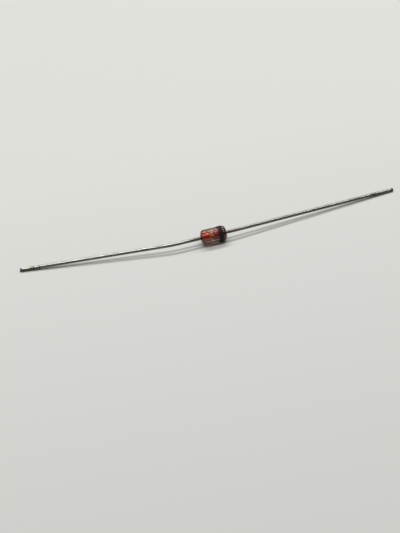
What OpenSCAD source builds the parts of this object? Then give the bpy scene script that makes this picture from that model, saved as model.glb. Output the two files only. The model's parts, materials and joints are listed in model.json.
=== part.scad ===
// Zener diode in a sealed glass body with two axial wire leads.
// The body's axis runs along X, with the cathode at +X. The diode lies on the plane Z = 0:
// the painted band and the tips of both bent leads touch that plane.

/* [Glass sleeve] */
// Outside diameter of the sleeve
glass_d = 2.2; // [1.6:0.05:2.3]
// Length of the sleeve
glass_l = 3.6; // [3.1:0.05:5]
// Radius to which the flame rounds the outside of the sleeve's ends
glass_end_r = 0.5; // [0.2:0.02:0.54]
// Radius to which the flame rounds the mouth of the bore
glass_lip_r = 0.12; // [0.04:0.01:0.16]

/* [Slugs] */
// Diameter of each slug, which the glass has shrunk onto
slug_d = 0.92; // [0.7:0.02:0.98]
// Length of the anode slug
anode_slug_l = 1.15; // [0.9:0.05:1.3]
// Length of the cathode slug
cathode_slug_l = 1.65; // [1.2:0.05:1.75]
// Chamfer round the ends of each slug
slug_chamfer = 0.05; // [0.02:0.01:0.1]

/* [Chip] */
// Side of the square silicon die
die_w = 0.46; // [0.3:0.02:0.48]
// Thickness of the die
die_t = 0.24; // [0.12:0.01:0.3]
// Diameter of the silver bump at its foot on the die
bump_d = 0.34; // [0.26:0.01:0.44]
// Height of the bump between the die and the anode slug
bump_t = 0.1; // [0.04:0.01:0.12]

/* [Leads] */
// Diameter of the wire
lead_d = 0.5; // [0.4:0.01:0.56]
// Length of wire past each end of the glass, measured along the wire
lead_l = 26; // [20:0.5:38]
// How far the weld bead stands out round the wire at the slug
bead_r = 0.1; // [0.03:0.01:0.12]
// How much thinner the wire is drawn where it is bent
bend_thinning = 0.006; // [0.004:0.002:0.03]
// Chamfer that the cutter leaves round each tip
tip_chamfer = 0.04; // [0.01:0.01:0.1]

/* [Anode bend] */
// Angle of the bend in the anode lead
anode_bend = 11; // [1:0.5:20]
// Distance from the glass to the start of the bend
anode_bend_at = 3; // [0.5:0.1:10]
// Radius of the bend
anode_bend_r = 12; // [3:0.5:20]

/* [Cathode bend] */
// Angle of the bend in the cathode lead
cathode_bend = 5; // [1:0.5:20]
// Distance from the glass to the start of the bend
cathode_bend_at = 1; // [0.5:0.1:10]
// Radius of the bend
cathode_bend_r = 8; // [3:0.5:20]

/* [Cathode band] */
// Width of the painted band
band_w = 0.65; // [0.4:0.05:1]
// Thickness of the paint
band_t = 0.03; // [0.01:0.01:0.05]
// Distance from the band to the start of the rounded end
band_inset = 0; // [0:0.05:0.4]

/* [Hidden] */
$fn = 96;

glass_color = [0.80, 0.74, 0.70, 0.4];
slug_color = [0.66, 0.14, 0.08];
die_color = [0.68, 0.56, 0.44];
silver_color = [0.86, 0.86, 0.84];
tin_color = [0.62, 0.62, 0.60];
band_color = [0.05, 0.05, 0.06];

// The outer rounding stops where the wall leaves room only for the rounded mouth.
end_r = min(glass_end_r, (glass_d - slug_d) / 2 - glass_lip_r);

// Stack along the axis: anode slug, bump, die, cathode slug. The stack is centred in the sleeve,
// and the chip is off its middle, because the slugs differ in length.
stack_l = anode_slug_l + bump_t + die_t + cathode_slug_l;
weld_face = stack_l / 2;
bump_face = anode_slug_l - weld_face;
die_face = bump_face + bump_t;

// Length over which the drawn wire of a bend runs into the full wire beside it.
bend_lap = 0.02;

// Height of the axis over the plane, and how far a lead's tip has to come down to lie on it.
axis_z = glass_d / 2 + band_t;
tip_drop = axis_z - lead_d / 2;

// Path of a lead from the middle of the body: straight, then one bend, then straight to the tip.
function bend_x(at) = glass_l / 2 + at;
function tail_l(angle, at, r) = lead_l - at - r * angle * PI / 180;
function tip_x(angle, at, r) = bend_x(at) + r * sin(angle) + tail_l(angle, at, r) * cos(angle);
function tip_side(angle, at, r) = r * (1 - cos(angle)) + tail_l(angle, at, r) * sin(angle);

// Turn of the bend's plane about the axis, below level, that lays the tip on the plane.
// A lead that is bent too little to reach the plane hangs straight down.
function bend_dip(side) = side > tip_drop ? asin(tip_drop / side) : 90;

anode_side = tip_side(anode_bend, anode_bend_at, anode_bend_r);
cathode_side = tip_side(cathode_bend, cathode_bend_at, cathode_bend_r);
anode_dip = bend_dip(anode_side);
cathode_dip = bend_dip(cathode_side);

// Shift that centres the whole diode over the origin, by the corners of its cut tips and its band.
anode_reach = tip_x(anode_bend, anode_bend_at, anode_bend_r) + lead_d / 2 * sin(anode_bend);
cathode_reach = tip_x(cathode_bend, cathode_bend_at, cathode_bend_r) + lead_d / 2 * sin(cathode_bend);
back = max(anode_side * cos(anode_dip), cathode_side * cos(cathode_dip)) + lead_d / 2;
centre_x = (anode_reach - cathode_reach) / 2;
centre_y = (axis_z - back) / 2;

// Puts a piece that was drawn about the body's middle where the diode lies.
module seated() {
    translate([centre_x, centre_y, axis_z]) children();
}

// Turns a profile, drawn with the radius along X and the length along Y, about the body's axis.
module turned() {
    rotate([0, 90, 0]) rotate_extrude() children();
}

// A slug, from the face against the chip to the face with the weld.
module slug_profile(l) {
    r = slug_d / 2;
    c = slug_chamfer;
    polygon([[0, 0], [r - c, 0], [r, c], [r, l - c], [r - c, l], [0, l]]);
}

module slug(l) {
    translate([weld_face - l, 0, 0]) turned() slug_profile(l);
}

// A wire from its weld to its tip. It bends towards +Y and the plane of the bend dips below level.
module lead(angle, at, r, dip) {
    tail = tail_l(angle, at, r);
    lap = bend_lap / r * 180 / PI;
    rotate([-dip, 0, 0]) {
        translate([weld_face, 0, 0]) turned() {
            square([lead_d / 2, bend_x(at) - weld_face]);
            intersection() {
                translate([lead_d / 2, 0]) circle(r = bead_r);
                square([lead_d / 2 + bead_r, bead_r]);
            }
        }
        translate([bend_x(at), r, 0]) {
            rotate([0, 0, -90 - lap]) rotate_extrude(angle = angle + 2 * lap)
                translate([r, 0]) circle(d = lead_d - bend_thinning);
            rotate([0, 0, angle]) translate([0, -r, 0]) rotate([0, 90, 0]) {
                cylinder(d = lead_d, h = tail - tip_chamfer);
                translate([0, 0, tail - tip_chamfer])
                    cylinder(d1 = lead_d, d2 = lead_d - 2 * tip_chamfer, h = tip_chamfer);
            }
        }
    }
}

// What rounding a corner takes away, from the centre of the rounding outwards.
module beyond_corner(r) {
    difference() {
        square(2 * r);
        circle(r = r);
    }
}

// Glass tube fused to both slugs. Its ends are round outside and at the mouth of the bore.
module glass_sleeve() {
    half = glass_l / 2;
    wall = (glass_d - slug_d) / 2;
    color(glass_color) seated() turned() translate([slug_d / 2, 0]) difference() {
        translate([0, -half]) square([wall, glass_l]);
        for (end = [0, 1]) mirror([0, end]) {
            translate([wall - end_r, half - end_r]) beyond_corner(end_r);
            translate([glass_lip_r, half - glass_lip_r]) mirror([1, 0]) beyond_corner(glass_lip_r);
        }
    }
}

// Copper-clad stud on the plain end.
module anode_slug() {
    color(slug_color) seated() mirror([1, 0, 0]) slug(anode_slug_l);
}

// Copper-clad stud on the banded end.
module cathode_slug() {
    color(slug_color) seated() slug(cathode_slug_l);
}

// Square chip, with its back on the cathode slug.
module silicon_die() {
    color(die_color) seated() translate([die_face, -die_w / 2, -die_w / 2]) cube([die_t, die_w, die_w]);
}

// Silver bump plated on the chip, with a flat crown pressed against the anode slug.
module contact_bump() {
    color(silver_color) seated() translate([bump_face, 0, 0]) turned() {
        square([bump_d / 2 - bump_t, bump_t]);
        intersection() {
            translate([bump_d / 2 - bump_t, bump_t]) circle(r = bump_t);
            square([bump_d / 2, bump_t]);
        }
    }
}

// Tinned wire welded to the anode slug.
module anode_lead() {
    color(tin_color) seated() mirror([1, 0, 0]) lead(anode_bend, anode_bend_at, anode_bend_r, anode_dip);
}

// Tinned wire welded to the cathode slug.
module cathode_lead() {
    color(tin_color) seated() lead(cathode_bend, cathode_bend_at, cathode_bend_r, cathode_dip);
}

// Ring of paint on the straight part of the glass, beside the rounded cathode end.
module cathode_band() {
    color(band_color) seated() turned()
        translate([glass_d / 2, glass_l / 2 - end_r - band_inset - band_w]) square([band_t, band_w]);
}

glass_sleeve();
anode_slug();
cathode_slug();
silicon_die();
contact_bump();
anode_lead();
cathode_lead();
cathode_band();
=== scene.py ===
import json
from math import cos, pi, radians, sin, sqrt

import bmesh
import bpy
from mathutils import Matrix, Vector, noise


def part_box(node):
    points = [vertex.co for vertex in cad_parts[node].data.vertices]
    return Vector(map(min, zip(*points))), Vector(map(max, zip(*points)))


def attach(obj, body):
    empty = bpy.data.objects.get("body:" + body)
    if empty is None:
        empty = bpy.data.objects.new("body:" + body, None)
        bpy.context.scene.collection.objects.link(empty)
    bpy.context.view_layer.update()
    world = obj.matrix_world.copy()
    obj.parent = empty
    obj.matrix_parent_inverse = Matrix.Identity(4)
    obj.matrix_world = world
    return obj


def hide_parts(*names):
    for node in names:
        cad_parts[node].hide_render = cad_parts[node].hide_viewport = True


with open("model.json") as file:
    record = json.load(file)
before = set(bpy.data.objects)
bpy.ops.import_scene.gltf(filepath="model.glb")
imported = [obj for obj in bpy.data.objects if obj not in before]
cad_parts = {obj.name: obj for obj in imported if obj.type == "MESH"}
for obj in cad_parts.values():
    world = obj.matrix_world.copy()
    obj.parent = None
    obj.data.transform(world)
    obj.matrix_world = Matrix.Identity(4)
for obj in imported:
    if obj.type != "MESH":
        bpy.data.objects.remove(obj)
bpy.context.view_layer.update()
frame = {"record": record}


# Slugs: two short studs cut from copper-clad nickel-iron wire, tumbled, and fired so that a red skin of
# copper oxide forms on them, which the molten glass wets. The skin thins to copper beside the chip, and
# the heat of the weld browns it at the outer end. Painted shade deepens that brown at the outer ends and
# darkens the whole cathode slug, whose brown reaches further in.
MM = 0.001


class Socket:
    """An output of a node tree. Sums on it add Math nodes, and node() adds any other node."""

    def __init__(self, tree, output):
        self.tree = tree
        self.output = output

    def node(self, kind, settings, sockets, output=0):
        """Adds a node, sets it up, gives its sockets their values or links, and returns one output."""
        made = self.tree.nodes.new(kind)
        for key, value in settings.items():
            if key == "stops":
                ramp = made.color_ramp.elements
                while len(ramp) < len(value):
                    ramp.new(1.0)
                for stop, (position, colour) in zip(ramp, value):
                    stop.position = position
                    stop.color = (*colour, 1.0)
            else:
                setattr(made, key, value)
        for key, value in sockets.items():
            if isinstance(value, Socket):
                self.tree.links.new(value.output, made.inputs[key])
            else:
                made.inputs[key].default_value = value
        return Socket(self.tree, made.outputs[output])

    def into(self, shader, socket):
        """Links this output to a shader's socket."""
        self.tree.links.new(self.output, shader.inputs[socket])

    def math(self, operation, first, second=0.0):
        return self.node("ShaderNodeMath", {"operation": operation}, {0: first, 1: second})

    def __add__(self, other):
        return self.math("ADD", self, other)

    def __sub__(self, other):
        return self.math("SUBTRACT", self, other)

    def __rsub__(self, other):
        return self.math("SUBTRACT", other, self)

    def __mul__(self, other):
        return self.math("MULTIPLY", self, other)

    def __abs__(self):
        return self.math("ABSOLUTE", self)

    __radd__ = __add__
    __rmul__ = __mul__

    def stretched(self, x, y, z):
        """These coordinates as so many cells of a pattern to the unit, each way."""
        return self.node("ShaderNodeVectorMath", {"operation": "MULTIPLY"}, {0: self, 1: (x, y, z)})

    def towards(self, direction):
        """How far these coordinates lie along a direction."""
        sockets = {0: self, 1: direction}
        return self.node("ShaderNodeVectorMath", {"operation": "DOT_PRODUCT"}, sockets, output=1)

    def length(self):
        """How far these coordinates lie from their origin."""
        return self.node("ShaderNodeVectorMath", {"operation": "LENGTH"}, {0: self}, output=1)

    def noise(self, detail=3.0, roughness=0.5):
        """A cloudy pattern of one cell to the unit, about 0.5 at its mean."""
        return self.node("ShaderNodeTexNoise", {}, {"Vector": self, "Scale": 1.0, "Detail": detail,
                                                    "Roughness": roughness})

    def ranged(self, low, high, to_low=0.0, to_high=1.0):
        """This value from a range, carried to another range and held at its ends."""
        return self.node("ShaderNodeMapRange", {}, {"Value": self, "From Min": low, "From Max": high,
                                                    "To Min": to_low, "To Max": to_high})

    def ring(self, middle, half, soft):
        """A mask of 1 within half a width of the middle, which fades out over the soft width."""
        return abs(self - middle).ranged(half + soft, half)

    def between(self, first, second):
        """A colour mixed by this factor from two, each an output or its red, green and blue."""
        ends = [end if isinstance(end, Socket) else (*end, 1.0) for end in (first, second)]
        sockets = {0: self, 6: ends[0], 7: ends[1]}
        return self.node("ShaderNodeMix", {"data_type": "RGBA"}, sockets, output=2)

    def tones(self, *stops):
        """A colour read from a ramp by this value."""
        return self.node("ShaderNodeValToRGB", {"stops": stops}, {0: self})

    def bump(self, height):
        """A normal from this pattern, where a step of 1 stands for a height in metres."""
        return self.node("ShaderNodeBump", {}, {"Height": self, "Distance": height, "Strength": 1.0})


def finish_of(name, constants):
    """A material, its shader with these constants, and the place on the piece in millimetres."""
    made = bpy.data.materials.new(name)
    made.use_nodes = True
    tree = made.node_tree
    shader = tree.nodes["Principled BSDF"]
    for socket, value in constants.items():
        shader.inputs[socket].default_value = value
    place = Socket(tree, tree.nodes.new("ShaderNodeTexCoord").outputs["Object"])
    return made, shader, place.stretched(1 / MM, 1 / MM, 1 / MM)


sharp_angle = radians(35)


def shown(name, shape, material, node):
    """Makes a piece of a mesh, and puts it in place of its solid."""
    mesh = bpy.data.meshes.new(name)
    bmesh.ops.recalc_face_normals(shape, faces=shape.faces)
    shape.to_mesh(mesh)
    shape.free()
    mesh.polygons.foreach_set("use_smooth", [True] * len(mesh.polygons))
    mesh.set_sharp_from_angle(angle=sharp_angle)
    mesh.materials.append(material)
    piece = bpy.data.objects.new(name, mesh)
    bpy.context.scene.collection.objects.link(piece)
    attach(piece, "root")
    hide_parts(node)


def corner(along, radius, size, start, end, steps=8):
    """Points of an arc in a turned section, by its angles from the axis."""
    angles = [radians(start + (end - start) * i / steps) for i in range(steps + 1)]
    return [(along + size * cos(a), radius + size * sin(a)) for a in angles]


def turned(section, loop, steps=128, uneven=None):
    """A mesh turned about the body's axis from (along, radius) pairs.

    The section is a closed loop, or starts and ends on the axis. Where uneven is given, it says how far
    a point shifts along the axis, by its place along and its turn.
    """
    made = bmesh.new()
    rings = []
    for along, radius in section:
        ring = []
        for i in range(steps if radius else 1):
            turn = 2 * pi * i / steps
            shift = uneven(along, turn) if uneven else 0.0
            spot = Vector((along + shift, radius * cos(turn), radius * sin(turn)))
            ring.append(made.verts.new(body_centre + spot))
        rings.append(ring)
    following = rings[1:] + rings[:1] if loop else rings[1:]
    for first, second in zip(rings, following):
        for i in range(steps):
            face = [first[i % len(first)], first[(i + 1) % len(first)],
                    second[(i + 1) % len(second)], second[i % len(second)]]
            made.faces.new(list(dict.fromkeys(face)))
    return made


glass_low, glass_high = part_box("glass_sleeve")
body_centre = (glass_low + glass_high) / 2
body_x = body_centre.x / MM
slug_boxes = {name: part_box(name + "_slug") for name in ("anode", "cathode")}
slug_low, slug_high = slug_boxes["cathode"]
weld_face = slug_high.x - body_centre.x
slug_r = (slug_high.y - slug_low.y) / 2
slug_edge = 0.05 * MM
oxide_gloss = {"Metallic": 0.2, "Specular IOR Level": 1.0, "Coat Weight": 0.6}
oxide_relief = 0.003 * MM
oxide_tones = ((0.30, (0.62, 0.026, 0.013)), (0.48, (0.88, 0.064, 0.022)), (0.66, (1.00, 0.225, 0.066)))
scale_red = (0.36, 0.017, 0.009)
thin_copper = (0.98, 0.40, 0.17)
weld_and_shade_brown = (0.25, 0.072, 0.056)

# The third value says how much painted shade darkens a slug and how much rougher it is.
# Patterns are drawn in millimetres.
for name, way, shade_and_dull in (("anode", -1, 0.0), ("cathode", 1, 0.45)):
    oxide, oxide_shader, place = finish_of(name + "_oxide", oxide_gloss)
    slug_low, slug_high = slug_boxes[name]
    chip_face = weld_face - (slug_high.x - slug_low.x)
    outward = way * (place.towards((1, 0, 0)) - body_x)
    drawn = place.stretched(0.6, 9, 9).noise(4)
    cloud = place.stretched(2.4, 2.4, 2.4).noise(4, 0.6)
    # Painted shade: on the cathode slug more of the dark scale red is mixed in, and less copper shows by
    # the chip.
    scale_and_shade = drawn.ranged(0.45, 0.75, shade_and_dull, shade_and_dull + 0.5)
    thinned = (outward - chip_face / MM + 0.1 * cloud).ranged(0.24, 0.08, 0, 0.8 - 0.5 * shade_and_dull)
    # The outer end is painted brown, partly for the weld's heat and partly as painted shade, further in on
    # the cathode.
    browned_and_shaded = (weld_face / MM - outward).ranged(0.26 + 0.8 * shade_and_dull, 0.05 + 0.3 * shade_and_dull)
    red = scale_and_shade.between(cloud.tones(*oxide_tones), scale_red)
    red = thinned.between(red, thin_copper)
    red = browned_and_shaded.between(red, weld_and_shade_brown)
    red.into(oxide_shader, "Base Color")
    drawn.ranged(0.3, 0.7, 0.12 + shade_and_dull / 2, 0.28 + shade_and_dull / 2).into(oxide_shader, "Roughness")
    (drawn * 0.7 + cloud * 0.3).bump(oxide_relief).into(oxide_shader, "Normal")
    section = [(chip_face, 0.0), *corner(chip_face + slug_edge, slug_r - slug_edge, slug_edge, 180, 90),
               *corner(weld_face - slug_edge, slug_r - slug_edge, slug_edge, 90, 0), (weld_face, 0.0)]
    stud = turned([(way * along, radius) for along, radius in section], loop=False)
    shown(name + "_stud", stud, oxide, name + "_slug")


# Leads: copper-clad steel wire, dipped in tin and butt-welded to the slugs, which leaves a bead of metal at
# the weld and darkens the tin beside it. Each is bent by hand and cut off square. Age has dulled them, and
# they are nicked and stained near the cut ends. Painted shade darkens the underside of each lead, the whole
# cathode lead, and the tin near the body on top of the weld's darkening. Near each tip the underside is
# also darker olive brown.
wire_sides = 40
bead_steps = (0, 0.3, 0.6, 0.8, 0.92, 1.0, 1.3)
stub_steps = 10
bend_steps = 24
tail_steps = 60
mark_steps = 80
edge_steps = (1.25, 0.75, 0.3, 0)
wire_wear = 0.004 * MM
bead_r = 0.1 * MM
tip_edge = 0.04 * MM
tip_round = edge_steps[0] * tip_edge
cut_shares = (0.72, 0.42, 0.15)
cut_depth = 0.012 * MM
cut_grain = 0.06 * MM
marked_length = 3.4 * MM

# Each nick by its distance from the tip, half its width and its depth, in millimetres.
nicks = {"anode": ((1.95, 0.07, 0.024), (2.80, 0.06, 0.020)), "cathode": ((3.10, 0.30, 0.010),)}
nick_sway = 0.05
nick_soft = 0.08
stained = {"anode": 0.75, "cathode": 0.65}
residue = {"anode": 0.9, "cathode": 0.2}
# Painted shade: how much of each lead's top also takes the darker underside tin, most on the cathode lead.
lead_shade_share = {"anode": 0.2, "cathode": 0.7}

# Where each mark starts and where it is full, in millimetres from the tip, or from the body's middle.
rubbed_reach = (2.0, 1.7)
tip_underside_reach = (3.3, 2.7)
pinched_reach = (0.70, 0.52)
cut_reach = (0.030, 0.014)
# Painted shade near the body, on top of the weld's darkening of the tin.
weld_shade_reach = (4.8, 2.9)
copper_skin = (0.175, 0.015, 0.015)

bright_tin = ((0.50, 0.495, 0.475), (0.37, 0.363, 0.338))
# Painted shade: the darker tin painted on the underside of the leads.
shaded_underside_tin = ((0.18, 0.172, 0.150), (0.12, 0.114, 0.095))
rubbed_tin = (0.58, 0.575, 0.55)
speck_grey = (0.15, 0.143, 0.12)
flux_brown = (0.17, 0.14, 0.065)
# The darker olive brown of each lead's underside near its tip.
tip_underside_brown = (0.10, 0.085, 0.045)
weld_shade_grey = (0.095, 0.088, 0.077)
nick_grey = (0.06, 0.055, 0.042)
pinch_grey = (0.06, 0.058, 0.05)
cut_steel = (0.075, 0.073, 0.07)
cut_copper = (0.28, 0.12, 0.065)
tin_relief = 0.003 * MM


def wire_path(mount, way):
    """Points of a lead's centre line from weld to tip with their headings, then the tip and its heading."""
    outward = Vector((way, 0, 0))
    pull = Vector(mount["axis"])
    half = pull * mount["dims"]["length_mm"] / 2 * MM
    bend_end = Vector(mount["pos_m"]) - half
    tip = Vector(mount["pos_m"]) + half + pull * tip_edge
    side = (pull - outward * pull.dot(outward)).normalized()
    knee = bend_end - pull * ((bend_end - body_centre).dot(side) / pull.dot(side))
    reach = (bend_end - knee).length
    angle = outward.angle(pull)
    radius = reach / sin(angle / 2) * cos(angle / 2)
    bend_start = knee - outward * reach
    weld = body_centre + outward * weld_face
    points = [(weld + outward * bead_r * step, outward) for step in bead_steps]
    bead_end = points[-1][0]
    points += [(bead_end.lerp(bend_start, step / stub_steps), outward) for step in range(1, stub_steps + 1)]
    for step in range(1, bend_steps + 1):
        turn = angle * step / bend_steps
        point = bend_start + outward * radius * sin(turn) + side * radius * (1 - cos(turn))
        points.append((point, outward * cos(turn) + side * sin(turn)))
    marks_start = tip - pull * marked_length
    points += [(bend_end.lerp(marks_start, step / tail_steps), pull) for step in range(1, tail_steps + 1)]
    points += [(marks_start.lerp(tip, step / mark_steps), pull) for step in range(1, mark_steps - 1)]
    points += [(tip - pull * step * tip_edge, pull) for step in edge_steps]
    return points, tip, pull


def wire_radius(from_weld, from_tip, turn, lead_r, marks, seed):
    """Radius of a lead at a place along it and round it, where a turn of 0 is on top."""
    round_it = Vector((cos(turn), sin(turn), seed))
    slow = noise.noise(round_it + Vector((0, 0, from_tip / MM * 0.7)))
    fine = noise.noise(2.5 * round_it + Vector((0, 0, from_tip / MM * 4)))
    radius = lead_r - wire_wear * (1.6 + slow + 0.6 * fine)
    if from_weld < bead_r:
        lump = 0.88 + 0.12 * noise.noise(1.5 * round_it)
        radius += bead_r * lump * sqrt(1 - (from_weld / bead_r) ** 2)
    for middle, half, depth in marks:
        off = (from_tip / MM - middle - nick_sway * cos(turn + seed)) / half
        if abs(off) < 1:
            radius -= depth * MM * (1 - off * off) ** 2 * (0.7 + 0.3 * cos(turn))
    if from_tip < tip_round:
        radius -= tip_edge * (1 - from_tip / tip_round) ** 1.5
    return radius


def wire_mesh(points, tip, pull, lead_r, marks, seed):
    """A lead as rings of points round its path, closed by a rough cut face."""
    made = bmesh.new()
    weld = points[0][0]
    rings = []
    for point, heading in points:
        up = (Vector((0, 0, 1)) - heading * heading.z).normalized()
        across = heading.cross(up)
        ring = []
        for i in range(wire_sides):
            turn = 2 * pi * i / wire_sides
            radius = wire_radius((point - weld).length, (tip - point).length, turn, lead_r, marks, seed)
            ring.append(made.verts.new(point + (up * cos(turn) + across * sin(turn)) * radius))
        rings.append(ring)
    rim = rings[-1]
    for share in cut_shares:
        ring = []
        for vert in rim:
            spot = (vert.co - tip) * share
            dent = 0.5 + 0.5 * noise.noise(spot / cut_grain + Vector((0, 0, seed)))
            ring.append(made.verts.new(tip + spot - pull * cut_depth * dent))
        rings.append(ring)
    for first, second in zip(rings, rings[1:]):
        for i in range(wire_sides):
            j = (i + 1) % wire_sides
            made.faces.new((first[i], first[j], second[j], second[i]))
    made.faces.new(rings[0])
    made.faces.new(rings[-1])
    return made


mounts = {mount["name"]: mount for mount in frame["record"]["mounts"]}
for name, way, seed in (("anode", -1, 3.7), ("cathode", 1, 8.1)):
    mount = mounts[name + "_wire"]
    points, tip, pull = wire_path(mount, way)
    side = pull.cross(Vector((0, 0, 1))).normalized()
    up = side.cross(pull)
    tin, tin_shader, place = finish_of(name + "_tin", {"Metallic": 1.0})
    along = place.towards(pull)
    across = place.towards(side) - tip.dot(side) / MM
    lift = place.towards(up) - tip.dot(up) / MM
    rolled = place.node("ShaderNodeCombineXYZ", {}, {0: along, 1: across, 2: lift})
    off_axis = rolled.stretched(0, 1, 1).length()
    from_tip = tip.dot(pull) / MM - along
    from_body = abs(place.towards((1, 0, 0)) - body_x)
    drawn = rolled.stretched(0.25, 10, 10).noise(5)
    worn = rolled.stretched(1.1, 3, 3).noise(4)
    specks = rolled.stretched(5, 9, 9).noise(3, 0.6).ranged(0.62, 0.72, 0, 0.6)
    smear = abs(lift * 4 - (from_tip - 1.0) * 1.33).ranged(0.6, 0.2) * from_tip.ranged(*rubbed_reach)
    # Darker olive brown on the underside of each lead near its tip, most on the anode lead.
    tip_underside_dark = (lift + 0.1 * worn).ranged(0.12, 0.02) * from_tip.ranged(*tip_underside_reach)
    # Near the body the tin is painted darker, partly from the weld's heat and partly as painted shade.
    weld_shade = (from_body + 1.5 * worn).ranged(*weld_shade_reach)
    nicked = sum(from_tip.ring(middle, half, nick_soft) for middle, half, depth in nicks[name])
    stain = nicked * stained[name]
    pinched = (from_tip + 0.6 * worn).ranged(*pinched_reach)
    bright = worn.ranged(0.35, 0.7).between(*bright_tin)
    bright = from_tip.ranged(*rubbed_reach, 0, 0.8).between(bright, rubbed_tin)
    # Painted shade: the darker tin is painted low on each lead, and on the cathode lead over more of its
    # top.
    underside_shade = worn.ranged(0.35, 0.7).between(*shaded_underside_tin)
    grey = (lift + 0.12 * worn).ranged(0.12, 0.26, 0, 1 - lead_shade_share[name]).between(underside_shade, bright)
    grey = specks.between(grey, speck_grey)
    grey = (smear * residue[name]).between(grey, flux_brown)
    grey = (tip_underside_dark * residue[name]).between(grey, tip_underside_brown)
    grey = (weld_shade * 0.6).between(grey, weld_shade_grey)
    grey = stain.between(grey, nick_grey)
    grey = (pinched * 0.9).between(grey, pinch_grey)
    core = off_axis.ring(*copper_skin).between(cut_steel, cut_copper)
    from_tip.ranged(*cut_reach).between(grey, core).into(tin_shader, "Base Color")
    (drawn.ranged(0.3, 0.75, 0.12, 0.28) + stain * 0.2 + pinched * 0.25).into(tin_shader, "Roughness")
    (drawn * 0.6 + worn * 0.4).bump(tin_relief).into(tin_shader, "Normal")
    wire = wire_mesh(points, tip, pull, mount["dims"]["r_mm"] * MM, nicks[name], seed)
    shown(name + "_wire", wire, tin, name + "_lead")


# Chip: a sawn square of silicon, soldered by its back to the cathode slug, with a plated silver bump
# on its other face that the shrinking glass presses against the anode slug. Its golden tan is partly
# painted reflection of the red slugs around it.
die_low, die_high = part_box("silicon_die")
die_edge = 0.008 * MM
saw_relief = 0.002 * MM
# The golden tan is partly painted reflection of the orange-red slugs.
chip_tan_and_reflection_tones = ((0.94, 0.72, 0.46), (1.00, 0.90, 0.68))
silicon, silicon_shader, place = finish_of("sawn_silicon", {"Metallic": 0.8})
sawn = place.stretched(30, 4, 4).noise(2)
sawn.ranged(0.3, 0.7).between(*chip_tan_and_reflection_tones).into(silicon_shader, "Base Color")
sawn.ranged(0.3, 0.7, 0.25, 0.5).into(silicon_shader, "Roughness")
sawn.bump(saw_relief).into(silicon_shader, "Normal")
die = bmesh.new()
bmesh.ops.create_cube(die, size=1.0)
bmesh.ops.scale(die, vec=die_high - die_low, verts=die.verts)
bmesh.ops.translate(die, vec=(die_low + die_high) / 2, verts=die.verts)
bmesh.ops.bevel(die, geom=die.edges, offset=die_edge, segments=2, profile=0.5, affect="EDGES")
shown("chip", die, silicon, "silicon_die")

bump_low, bump_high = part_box("contact_bump")
bump_t = bump_high.x - bump_low.x
bump_r = (bump_high.z - bump_low.z) / 2
bump_foot = bump_high.x - body_centre.x
plate_relief = 0.0015 * MM
silver_tones = ((0.72, 0.70, 0.66), (0.90, 0.88, 0.84))
silver, silver_shader, place = finish_of("plated_silver", {"Metallic": 1.0})
grain = place.stretched(25, 25, 25).noise(2)
grain.ranged(0.3, 0.7).between(*silver_tones).into(silver_shader, "Base Color")
grain.ranged(0.3, 0.7, 0.25, 0.4).into(silver_shader, "Roughness")
grain.bump(plate_relief).into(silver_shader, "Normal")
crown = [(bump_foot - bump_t, 0.0), *corner(bump_foot, bump_r - bump_t, bump_t, 180, 90), (bump_foot, 0.0)]
shown("chip_bump", turned(crown, loop=False, steps=48), silver, "contact_bump")


# Glass sleeve: a cut length of lead-glass tube, slid over the stack and melted onto the slugs. The flame
# rounds its ends, and between the slugs it sags towards the chip and leaves a small void. Its tint is
# partly the glass's own faint brown and partly painted red light thrown by the slugs and painted shade. It
# is deeper at the ends, partly from copper oxide there and partly as painted shade.
glass_r = (glass_high.y - glass_low.y) / 2
glass_half = (glass_high.x - glass_low.x) / 2
end_r = 0.5 * MM
lip_r = 0.12 * MM
grip = 0.006 * MM
sag = 0.04 * MM
void_steps = 20
glass_relief = 0.004 * MM
# Painted light: the tint holds painted red light from the slugs and painted shade; the ends are painted
# deeper.
glass_and_bounce_tint = (0.53, 0.345, 0.29)
end_tint_and_shade = (0.27, 0.125, 0.105)
tint_reach = (1.2, 1.7)

clear, clear_shader, place = finish_of("clear_glass", {"Roughness": 0.0, "IOR": 1.55,
                                                      "Transmission Weight": 1.0,
                                                      "Specular Tint": (0.75, 0.72, 0.70, 1)})
from_middle = abs(place.towards((1, 0, 0)) - body_x)
from_middle.ranged(*tint_reach).between(glass_and_bounce_tint, end_tint_and_shade).into(clear_shader, "Base Color")
place.stretched(0.9, 1.6, 1.6).noise(2).bump(glass_relief).into(clear_shader, "Normal")

end_section = [*corner(glass_half - end_r, glass_r - end_r, end_r, 90, 0, steps=14),
               *corner(glass_half - lip_r, slug_r + lip_r, lip_r, 0, -90),
               (weld_face - slug_edge, slug_r), (weld_face - slug_edge, slug_r - grip)]
void_start = slug_boxes["anode"][1].x - body_centre.x - slug_edge
void_end = slug_boxes["cathode"][0].x - body_centre.x + slug_edge
void_section = []
for step in range(void_steps + 1):
    share = step / void_steps
    along = void_end + (void_start - void_end) * share
    void_section.append((along, slug_r - grip - sag * (1 - (2 * share - 1) ** 2)))
other_end = [(-along, radius) for along, radius in reversed(end_section)]
sleeve = turned(end_section + void_section + other_end, loop=True, steps=192)
shown("sleeve_glass", sleeve, clear, "glass_sleeve")


# Cathode band: one ring of black ink that marks the cathode end. A wheel rolls it onto the finished glass,
# so its edges wander a little, and it is baked hard.
band_low, band_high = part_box("cathode_band")
band_start = band_low.x - body_centre.x
band_end = band_high.x - body_centre.x
band_r = (band_high.y - band_low.y) / 2
band_soft = 0.015 * MM
band_wander = 0.02 * MM
ink_relief = 0.004 * MM
ink_tones = ((0.018, 0.012, 0.012), (0.036, 0.023, 0.024))


def wander(along, turn):
    """How far the edge of the ink lies inside the band's full width."""
    inward = 1 if along < (band_start + band_end) / 2 else -1
    return inward * band_wander * (1 + noise.noise(Vector((2.5 * cos(turn), 2.5 * sin(turn), 4 * inward))))


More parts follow.
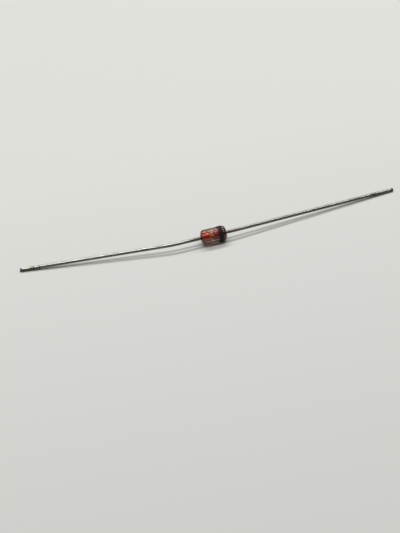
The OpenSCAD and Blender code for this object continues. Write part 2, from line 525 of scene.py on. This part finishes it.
ink, ink_shader, place = finish_of("black_ink", {"Specular IOR Level": 0.08})
mottle = place.stretched(4, 4, 4).noise(4)
mottle.ranged(0.3, 0.7).between(*ink_tones).into(ink_shader, "Base Color")
mottle.ranged(0.3, 0.7, 0.22, 0.42).into(ink_shader, "Roughness")
mottle.bump(ink_relief).into(ink_shader, "Normal")
section = [(band_start, glass_r - grip), (band_end, glass_r - grip),
           *corner(band_end - band_soft, band_r - band_soft, band_soft, 0, 90, steps=4),
           *corner(band_start + band_soft, band_r - band_soft, band_soft, 90, 180, steps=4)]
shown("band_ink", turned(section, loop=True, steps=192, uneven=wander), ink, "cathode_band")


# Floor: a plain pale sheet of paper that the diode lies on. It is painted a little paler towards the back
# as painted light falloff. It is no part of the diode.
floor_size = 1.2
paper_and_falloff_tones = ((0.60, 0.605, 0.575), (0.685, 0.69, 0.655))
light_falloff_reach = (-60, 25)
paper, paper_shader, place = finish_of("pale_paper", {"Roughness": 0.8, "Specular IOR Level": 0.2})
to_back = place.towards((0, 1, 0))
# Painted light: the paper grows paler towards the back, standing in for light falloff.
to_back.ranged(*light_falloff_reach).between(*paper_and_falloff_tones).into(paper_shader, "Base Color")
sheet = bmesh.new()
bmesh.ops.create_grid(sheet, x_segments=1, y_segments=1, size=floor_size / 2)
floor_mesh = bpy.data.meshes.new("floor")
sheet.to_mesh(floor_mesh)
sheet.free()
floor_mesh.materials.append(paper)
floor = bpy.data.objects.new("floor", floor_mesh)
bpy.context.scene.collection.objects.link(floor)


# Light: two long lamps over the diode, one of them behind it, in a dark room with a glow overhead and
# pale walls to the left and right.
lamp_length = 1.1
lamp_width = 0.08
room_tones = ((0.22, 0.22, 0.22), (1.0, 1.0, 1.0))
room_strength = 0.25
glow_middle = Vector((0.03, 0.12, 0.99)).normalized()
glow_reach = (cos(radians(58)), cos(radians(40)))
wall_reach = (0.55, 0.85)
wall_share = 0.6


def lamp(name, place, power):
    """A long lamp along X that faces the diode from a place over it."""
    data = bpy.data.lights.new(name, "AREA")
    data.shape = "RECTANGLE"
    data.size = lamp_length
    data.size_y = lamp_width
    data.energy = power
    made = bpy.data.objects.new(name, data)
    away = place.normalized()
    along = (Vector((1, 0, 0)) - away * away.x).normalized()
    facing_down = Matrix((along, away.cross(along), away)).transposed()
    made.matrix_world = Matrix.Translation(place) @ facing_down.to_4x4()
    bpy.context.scene.collection.objects.link(made)


lamp("top_lamp", place=Vector((0.08, -0.05, 0.79)), power=3.5)
lamp("back_lamp", place=Vector((0.08, 0.40, 0.68)), power=4.1)
room = bpy.data.worlds.new("room")
room.use_nodes = True
bpy.context.scene.world = room
room_shader = room.node_tree.nodes["Background"]
room_shader.inputs["Strength"].default_value = room_strength
facing = Socket(room.node_tree, room.node_tree.nodes.new("ShaderNodeTexCoord").outputs["Generated"])
glow = facing.towards(glow_middle).ranged(*glow_reach)
walls = abs(facing.towards((1, 0, 0))).ranged(*wall_reach, 0, wall_share)
(glow + walls).between(*room_tones).into(room_shader, "Color")


# Camera: at the photograph's place, looking down past the diode at a point on the floor, and rolled a
# little about its line of sight.
camera_azimuth = radians(-10.6)
camera_elevation = radians(35.3)
camera_roll = radians(-7.5)
camera_distance = 187.4 * MM
camera_aim = Vector((-3.59, -6.60, 0)) * MM
level = Vector((cos(camera_azimuth), sin(camera_azimuth), 0))
back = Vector((sin(camera_azimuth) * cos(camera_elevation), -cos(camera_azimuth) * cos(camera_elevation),
               sin(camera_elevation)))
right = level * cos(camera_roll) + back.cross(level) * sin(camera_roll)
camera_data = bpy.data.cameras.new("camera")
camera_data.sensor_width = 36
camera_data.lens = 91.42
camera_data.clip_start = 0.01
camera = bpy.data.objects.new("camera", camera_data)
facing_back = Matrix((right, back.cross(right), back)).transposed()
camera.matrix_world = Matrix.Translation(camera_aim + back * camera_distance) @ facing_back.to_4x4()
bpy.context.scene.collection.objects.link(camera)
bpy.context.scene.camera = camera
bpy.context.scene.view_settings.view_transform = "Standard"
